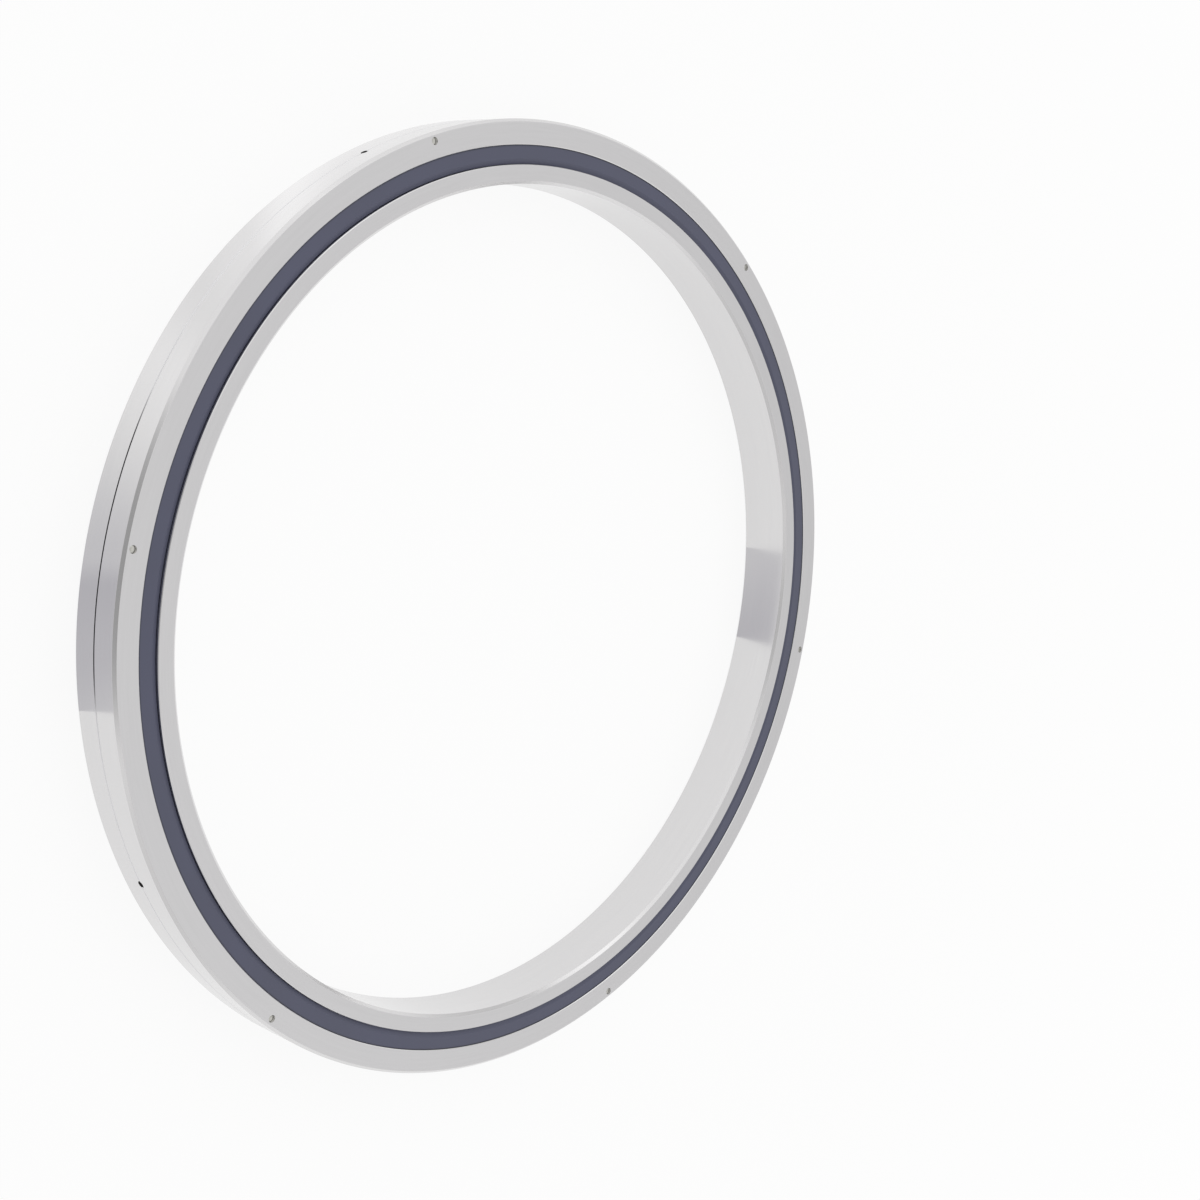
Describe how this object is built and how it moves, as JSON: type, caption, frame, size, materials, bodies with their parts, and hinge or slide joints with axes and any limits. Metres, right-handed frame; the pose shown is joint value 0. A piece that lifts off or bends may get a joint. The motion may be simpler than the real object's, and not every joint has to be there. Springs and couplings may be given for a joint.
{
  "type": "crossed roller bearing",
  "caption": "Thin crossed roller bearing with a split, riveted outer ring, a one-piece inner ring, a dark rubber seal in each face and caged rollers in V raceways.",
  "frame": {"origin": "middle of the bearing, on its axis and halfway between its two faces", "axes": "+Z along the bearing's axis out of the front face; +X through one of the rivets"},
  "size_m": [0.206, 0.206, 0.013],
  "materials": {
    "ground_steel": "satin ground bearing steel",
    "seal_rubber": "smooth slate-grey rubber",
    "rivet_steel": "plain steel, punched end",
    "cage_plastic": "moulded polyamide",
    "roller_steel": "fine-ground hardened steel"
  },
  "bodies": {
    "outer_ring": {"outer_ring_front": "ground_steel", "outer_ring_rear": "ground_steel", "front_seal": "seal_rubber", "rear_seal": "seal_rubber", "rivets": "rivet_steel"},
    "inner_ring": {"inner_ring": "ground_steel"},
    "roller_cage": {"roller_cage": "cage_plastic"},
    "roller_01": {"roller_01": "roller_steel"},
    "roller_02": {"roller_02": "roller_steel"},
    "roller_03": {"roller_03": "roller_steel"},
    "roller_04": {"roller_04": "roller_steel"},
    "roller_05": {"roller_05": "roller_steel"},
    "roller_06": {"roller_06": "roller_steel"},
    "roller_07": {"roller_07": "roller_steel"},
    "roller_08": {"roller_08": "roller_steel"},
    "roller_09": {"roller_09": "roller_steel"},
    "roller_10": {"roller_10": "roller_steel"},
    "roller_11": {"roller_11": "roller_steel"},
    "roller_12": {"roller_12": "roller_steel"},
    "roller_13": {"roller_13": "roller_steel"},
    "roller_14": {"roller_14": "roller_steel"},
    "roller_15": {"roller_15": "roller_steel"},
    "roller_16": {"roller_16": "roller_steel"},
    "roller_17": {"roller_17": "roller_steel"},
    "roller_18": {"roller_18": "roller_steel"},
    "roller_19": {"roller_19": "roller_steel"},
    "roller_20": {"roller_20": "roller_steel"},
    "roller_21": {"roller_21": "roller_steel"},
    "roller_22": {"roller_22": "roller_steel"},
    "roller_23": {"roller_23": "roller_steel"},
    "roller_24": {"roller_24": "roller_steel"},
    "roller_25": {"roller_25": "roller_steel"},
    "roller_26": {"roller_26": "roller_steel"},
    "roller_27": {"roller_27": "roller_steel"},
    "roller_28": {"roller_28": "roller_steel"},
    "roller_29": {"roller_29": "roller_steel"},
    "roller_30": {"roller_30": "roller_steel"},
    "roller_31": {"roller_31": "roller_steel"},
    "roller_32": {"roller_32": "roller_steel"},
    "roller_33": {"roller_33": "roller_steel"},
    "roller_34": {"roller_34": "roller_steel"},
    "roller_35": {"roller_35": "roller_steel"},
    "roller_36": {"roller_36": "roller_steel"},
    "roller_37": {"roller_37": "roller_steel"},
    "roller_38": {"roller_38": "roller_steel"},
    "roller_39": {"roller_39": "roller_steel"},
    "roller_40": {"roller_40": "roller_steel"},
    "roller_41": {"roller_41": "roller_steel"},
    "roller_42": {"roller_42": "roller_steel"},
    "roller_43": {"roller_43": "roller_steel"},
    "roller_44": {"roller_44": "roller_steel"},
    "roller_45": {"roller_45": "roller_steel"},
    "roller_46": {"roller_46": "roller_steel"},
    "roller_47": {"roller_47": "roller_steel"},
    "roller_48": {"roller_48": "roller_steel"},
    "roller_49": {"roller_49": "roller_steel"},
    "roller_50": {"roller_50": "roller_steel"},
    "roller_51": {"roller_51": "roller_steel"},
    "roller_52": {"roller_52": "roller_steel"}
  },
  "joints": [
    {"name": "inner_ring_spin", "type": "hinge", "parent": "outer_ring", "child": "inner_ring", "pos_m": [0, 0, 0], "axis": [0, 0, 1], "continuous": true},
    {"name": "cage_orbit", "type": "hinge", "parent": "outer_ring", "child": "roller_cage", "pos_m": [0, 0, 0], "axis": [0, 0, 1], "continuous": true},
    {"name": "roller_01_spin", "type": "hinge", "parent": "roller_cage", "child": "roller_01", "pos_m": [0.096, 0, 0], "axis": [-0.7071, 0, 0.7071], "continuous": true},
    {"name": "roller_02_spin", "type": "hinge", "parent": "roller_cage", "child": "roller_02", "pos_m": [0.0953, 0.01157, 0], "axis": [0.702, 0.0852, 0.7071], "continuous": true},
    {"name": "roller_03_spin", "type": "hinge", "parent": "roller_cage", "child": "roller_03", "pos_m": [0.09321, 0.02297, 0], "axis": [-0.6866, -0.1692, 0.7071], "continuous": true},
    {"name": "roller_04_spin", "type": "hinge", "parent": "roller_cage", "child": "roller_04", "pos_m": [0.08976, 0.03404, 0], "axis": [0.6612, 0.2507, 0.7071], "continuous": true},
    {"name": "roller_05_spin", "type": "hinge", "parent": "roller_cage", "child": "roller_05", "pos_m": [0.085, 0.04461, 0], "axis": [-0.6261, -0.3286, 0.7071], "continuous": true},
    {"name": "roller_06_spin", "type": "hinge", "parent": "roller_cage", "child": "roller_06", "pos_m": [0.07901, 0.05453, 0], "axis": [0.5819, 0.4017, 0.7071], "continuous": true},
    {"name": "roller_07_spin", "type": "hinge", "parent": "roller_cage", "child": "roller_07", "pos_m": [0.07186, 0.06366, 0], "axis": [-0.5293, -0.4689, 0.7071], "continuous": true},
    {"name": "roller_08_spin", "type": "hinge", "parent": "roller_cage", "child": "roller_08", "pos_m": [0.06366, 0.07186, 0], "axis": [0.4689, 0.5293, 0.7071], "continuous": true},
    {"name": "roller_09_spin", "type": "hinge", "parent": "roller_cage", "child": "roller_09", "pos_m": [0.05453, 0.07901, 0], "axis": [-0.4017, -0.5819, 0.7071], "continuous": true},
    {"name": "roller_10_spin", "type": "hinge", "parent": "roller_cage", "child": "roller_10", "pos_m": [0.04461, 0.085, 0], "axis": [0.3286, 0.6261, 0.7071], "continuous": true},
    {"name": "roller_11_spin", "type": "hinge", "parent": "roller_cage", "child": "roller_11", "pos_m": [0.03404, 0.08976, 0], "axis": [-0.2507, -0.6612, 0.7071], "continuous": true},
    {"name": "roller_12_spin", "type": "hinge", "parent": "roller_cage", "child": "roller_12", "pos_m": [0.02297, 0.09321, 0], "axis": [0.1692, 0.6866, 0.7071], "continuous": true},
    {"name": "roller_13_spin", "type": "hinge", "parent": "roller_cage", "child": "roller_13", "pos_m": [0.01157, 0.0953, 0], "axis": [-0.0852, -0.702, 0.7071], "continuous": true},
    {"name": "roller_14_spin", "type": "hinge", "parent": "roller_cage", "child": "roller_14", "pos_m": [0, 0.096, 0], "axis": [0, 0.7071, 0.7071], "continuous": true},
    {"name": "roller_15_spin", "type": "hinge", "parent": "roller_cage", "child": "roller_15", "pos_m": [-0.01157, 0.0953, 0], "axis": [0.0852, -0.702, 0.7071], "continuous": true},
    {"name": "roller_16_spin", "type": "hinge", "parent": "roller_cage", "child": "roller_16", "pos_m": [-0.02297, 0.09321, 0], "axis": [-0.1692, 0.6866, 0.7071], "continuous": true},
    {"name": "roller_17_spin", "type": "hinge", "parent": "roller_cage", "child": "roller_17", "pos_m": [-0.03404, 0.08976, 0], "axis": [0.2507, -0.6612, 0.7071], "continuous": true},
    {"name": "roller_18_spin", "type": "hinge", "parent": "roller_cage", "child": "roller_18", "pos_m": [-0.04461, 0.085, 0], "axis": [-0.3286, 0.6261, 0.7071], "continuous": true},
    {"name": "roller_19_spin", "type": "hinge", "parent": "roller_cage", "child": "roller_19", "pos_m": [-0.05453, 0.07901, 0], "axis": [0.4017, -0.5819, 0.7071], "continuous": true},
    {"name": "roller_20_spin", "type": "hinge", "parent": "roller_cage", "child": "roller_20", "pos_m": [-0.06366, 0.07186, 0], "axis": [-0.4689, 0.5293, 0.7071], "continuous": true},
    {"name": "roller_21_spin", "type": "hinge", "parent": "roller_cage", "child": "roller_21", "pos_m": [-0.07186, 0.06366, 0], "axis": [0.5293, -0.4689, 0.7071], "continuous": true},
    {"name": "roller_22_spin", "type": "hinge", "parent": "roller_cage", "child": "roller_22", "pos_m": [-0.07901, 0.05453, 0], "axis": [-0.5819, 0.4017, 0.7071], "continuous": true},
    {"name": "roller_23_spin", "type": "hinge", "parent": "roller_cage", "child": "roller_23", "pos_m": [-0.085, 0.04461, 0], "axis": [0.6261, -0.3286, 0.7071], "continuous": true},
    {"name": "roller_24_spin", "type": "hinge", "parent": "roller_cage", "child": "roller_24", "pos_m": [-0.08976, 0.03404, 0], "axis": [-0.6612, 0.2507, 0.7071], "continuous": true},
    {"name": "roller_25_spin", "type": "hinge", "parent": "roller_cage", "child": "roller_25", "pos_m": [-0.09321, 0.02297, 0], "axis": [0.6866, -0.1692, 0.7071], "continuous": true},
    {"name": "roller_26_spin", "type": "hinge", "parent": "roller_cage", "child": "roller_26", "pos_m": [-0.0953, 0.01157, 0], "axis": [-0.702, 0.0852, 0.7071], "continuous": true},
    {"name": "roller_27_spin", "type": "hinge", "parent": "roller_cage", "child": "roller_27", "pos_m": [-0.096, 0, 0], "axis": [0.7071, 0, 0.7071], "continuous": true},
    {"name": "roller_28_spin", "type": "hinge", "parent": "roller_cage", "child": "roller_28", "pos_m": [-0.0953, -0.01157, 0], "axis": [-0.702, -0.0852, 0.7071], "continuous": true},
    {"name": "roller_29_spin", "type": "hinge", "parent": "roller_cage", "child": "roller_29", "pos_m": [-0.09321, -0.02297, 0], "axis": [0.6866, 0.1692, 0.7071], "continuous": true},
    {"name": "roller_30_spin", "type": "hinge", "parent": "roller_cage", "child": "roller_30", "pos_m": [-0.08976, -0.03404, 0], "axis": [-0.6612, -0.2507, 0.7071], "continuous": true},
    {"name": "roller_31_spin", "type": "hinge", "parent": "roller_cage", "child": "roller_31", "pos_m": [-0.085, -0.04461, 0], "axis": [0.6261, 0.3286, 0.7071], "continuous": true},
    {"name": "roller_32_spin", "type": "hinge", "parent": "roller_cage", "child": "roller_32", "pos_m": [-0.07901, -0.05453, 0], "axis": [-0.5819, -0.4017, 0.7071], "continuous": true},
    {"name": "roller_33_spin", "type": "hinge", "parent": "roller_cage", "child": "roller_33", "pos_m": [-0.07186, -0.06366, 0], "axis": [0.5293, 0.4689, 0.7071], "continuous": true},
    {"name": "roller_34_spin", "type": "hinge", "parent": "roller_cage", "child": "roller_34", "pos_m": [-0.06366, -0.07186, 0], "axis": [-0.4689, -0.5293, 0.7071], "continuous": true},
    {"name": "roller_35_spin", "type": "hinge", "parent": "roller_cage", "child": "roller_35", "pos_m": [-0.05453, -0.07901, 0], "axis": [0.4017, 0.5819, 0.7071], "continuous": true},
    {"name": "roller_36_spin", "type": "hinge", "parent": "roller_cage", "child": "roller_36", "pos_m": [-0.04461, -0.085, 0], "axis": [-0.3286, -0.6261, 0.7071], "continuous": true},
    {"name": "roller_37_spin", "type": "hinge", "parent": "roller_cage", "child": "roller_37", "pos_m": [-0.03404, -0.08976, 0], "axis": [0.2507, 0.6612, 0.7071], "continuous": true},
    {"name": "roller_38_spin", "type": "hinge", "parent": "roller_cage", "child": "roller_38", "pos_m": [-0.02297, -0.09321, 0], "axis": [-0.1692, -0.6866, 0.7071], "continuous": true},
    {"name": "roller_39_spin", "type": "hinge", "parent": "roller_cage", "child": "roller_39", "pos_m": [-0.01157, -0.0953, 0], "axis": [0.0852, 0.702, 0.7071], "continuous": true},
    {"name": "roller_40_spin", "type": "hinge", "parent": "roller_cage", "child": "roller_40", "pos_m": [0, -0.096, 0], "axis": [0, -0.7071, 0.7071], "continuous": true},
    {"name": "roller_41_spin", "type": "hinge", "parent": "roller_cage", "child": "roller_41", "pos_m": [0.01157, -0.0953, 0], "axis": [-0.0852, 0.702, 0.7071], "continuous": true},
    {"name": "roller_42_spin", "type": "hinge", "parent": "roller_cage", "child": "roller_42", "pos_m": [0.02297, -0.09321, 0], "axis": [0.1692, -0.6866, 0.7071], "continuous": true},
    {"name": "roller_43_spin", "type": "hinge", "parent": "roller_cage", "child": "roller_43", "pos_m": [0.03404, -0.08976, 0], "axis": [-0.2507, 0.6612, 0.7071], "continuous": true},
    {"name": "roller_44_spin", "type": "hinge", "parent": "roller_cage", "child": "roller_44", "pos_m": [0.04461, -0.085, 0], "axis": [0.3286, -0.6261, 0.7071], "continuous": true},
    {"name": "roller_45_spin", "type": "hinge", "parent": "roller_cage", "child": "roller_45", "pos_m": [0.05453, -0.07901, 0], "axis": [-0.4017, 0.5819, 0.7071], "continuous": true},
    {"name": "roller_46_spin", "type": "hinge", "parent": "roller_cage", "child": "roller_46", "pos_m": [0.06366, -0.07186, 0], "axis": [0.4689, -0.5293, 0.7071], "continuous": true},
    {"name": "roller_47_spin", "type": "hinge", "parent": "roller_cage", "child": "roller_47", "pos_m": [0.07186, -0.06366, 0], "axis": [-0.5293, 0.4689, 0.7071], "continuous": true},
    {"name": "roller_48_spin", "type": "hinge", "parent": "roller_cage", "child": "roller_48", "pos_m": [0.07901, -0.05453, 0], "axis": [0.5819, -0.4017, 0.7071], "continuous": true},
    {"name": "roller_49_spin", "type": "hinge", "parent": "roller_cage", "child": "roller_49", "pos_m": [0.085, -0.04461, 0], "axis": [-0.6261, 0.3286, 0.7071], "continuous": true},
    {"name": "roller_50_spin", "type": "hinge", "parent": "roller_cage", "child": "roller_50", "pos_m": [0.08976, -0.03404, 0], "axis": [0.6612, -0.2507, 0.7071], "continuous": true},
    {"name": "roller_51_spin", "type": "hinge", "parent": "roller_cage", "child": "roller_51", "pos_m": [0.09321, -0.02297, 0], "axis": [-0.6866, 0.1692, 0.7071], "continuous": true},
    {"name": "roller_52_spin", "type": "hinge", "parent": "roller_cage", "child": "roller_52", "pos_m": [0.0953, -0.01157, 0], "axis": [0.702, -0.0852, 0.7071], "continuous": true}
  ],
  "couplings": [
    {"joint": "cage_orbit", "follows": "inner_ring_spin", "ratio": 0.48987},
    {"joint": "roller_01_spin", "follows": "inner_ring_spin", "ratio": -17.447},
    {"joint": "roller_02_spin", "follows": "inner_ring_spin", "ratio": -17.447},
    {"joint": "roller_03_spin", "follows": "inner_ring_spin", "ratio": -17.447},
    {"joint": "roller_04_spin", "follows": "inner_ring_spin", "ratio": -17.447},
    {"joint": "roller_05_spin", "follows": "inner_ring_spin", "ratio": -17.447},
    {"joint": "roller_06_spin", "follows": "inner_ring_spin", "ratio": -17.447},
    {"joint": "roller_07_spin", "follows": "inner_ring_spin", "ratio": -17.447},
    {"joint": "roller_08_spin", "follows": "inner_ring_spin", "ratio": -17.447},
    {"joint": "roller_09_spin", "follows": "inner_ring_spin", "ratio": -17.447},
    {"joint": "roller_10_spin", "follows": "inner_ring_spin", "ratio": -17.447},
    {"joint": "roller_11_spin", "follows": "inner_ring_spin", "ratio": -17.447},
    {"joint": "roller_12_spin", "follows": "inner_ring_spin", "ratio": -17.447},
    {"joint": "roller_13_spin", "follows": "inner_ring_spin", "ratio": -17.447},
    {"joint": "roller_14_spin", "follows": "inner_ring_spin", "ratio": -17.447},
    {"joint": "roller_15_spin", "follows": "inner_ring_spin", "ratio": -17.447},
    {"joint": "roller_16_spin", "follows": "inner_ring_spin", "ratio": -17.447},
    {"joint": "roller_17_spin", "follows": "inner_ring_spin", "ratio": -17.447},
    {"joint": "roller_18_spin", "follows": "inner_ring_spin", "ratio": -17.447},
    {"joint": "roller_19_spin", "follows": "inner_ring_spin", "ratio": -17.447},
    {"joint": "roller_20_spin", "follows": "inner_ring_spin", "ratio": -17.447},
    {"joint": "roller_21_spin", "follows": "inner_ring_spin", "ratio": -17.447},
    {"joint": "roller_22_spin", "follows": "inner_ring_spin", "ratio": -17.447},
    {"joint": "roller_23_spin", "follows": "inner_ring_spin", "ratio": -17.447},
    {"joint": "roller_24_spin", "follows": "inner_ring_spin", "ratio": -17.447},
    {"joint": "roller_25_spin", "follows": "inner_ring_spin", "ratio": -17.447},
    {"joint": "roller_26_spin", "follows": "inner_ring_spin", "ratio": -17.447},
    {"joint": "roller_27_spin", "follows": "inner_ring_spin", "ratio": -17.447},
    {"joint": "roller_28_spin", "follows": "inner_ring_spin", "ratio": -17.447},
    {"joint": "roller_29_spin", "follows": "inner_ring_spin", "ratio": -17.447},
    {"joint": "roller_30_spin", "follows": "inner_ring_spin", "ratio": -17.447},
    {"joint": "roller_31_spin", "follows": "inner_ring_spin", "ratio": -17.447},
    {"joint": "roller_32_spin", "follows": "inner_ring_spin", "ratio": -17.447},
    {"joint": "roller_33_spin", "follows": "inner_ring_spin", "ratio": -17.447},
    {"joint": "roller_34_spin", "follows": "inner_ring_spin", "ratio": -17.447},
    {"joint": "roller_35_spin", "follows": "inner_ring_spin", "ratio": -17.447},
    {"joint": "roller_36_spin", "follows": "inner_ring_spin", "ratio": -17.447},
    {"joint": "roller_37_spin", "follows": "inner_ring_spin", "ratio": -17.447},
    {"joint": "roller_38_spin", "follows": "inner_ring_spin", "ratio": -17.447},
    {"joint": "roller_39_spin", "follows": "inner_ring_spin", "ratio": -17.447},
    {"joint": "roller_40_spin", "follows": "inner_ring_spin", "ratio": -17.447},
    {"joint": "roller_41_spin", "follows": "inner_ring_spin", "ratio": -17.447},
    {"joint": "roller_42_spin", "follows": "inner_ring_spin", "ratio": -17.447},
    {"joint": "roller_43_spin", "follows": "inner_ring_spin", "ratio": -17.447},
    {"joint": "roller_44_spin", "follows": "inner_ring_spin", "ratio": -17.447},
    {"joint": "roller_45_spin", "follows": "inner_ring_spin", "ratio": -17.447},
    {"joint": "roller_46_spin", "follows": "inner_ring_spin", "ratio": -17.447},
    {"joint": "roller_47_spin", "follows": "inner_ring_spin", "ratio": -17.447},
    {"joint": "roller_48_spin", "follows": "inner_ring_spin", "ratio": -17.447},
    {"joint": "roller_49_spin", "follows": "inner_ring_spin", "ratio": -17.447},
    {"joint": "roller_50_spin", "follows": "inner_ring_spin", "ratio": -17.447},
    {"joint": "roller_51_spin", "follows": "inner_ring_spin", "ratio": -17.447},
    {"joint": "roller_52_spin", "follows": "inner_ring_spin", "ratio": -17.447}
  ]
}
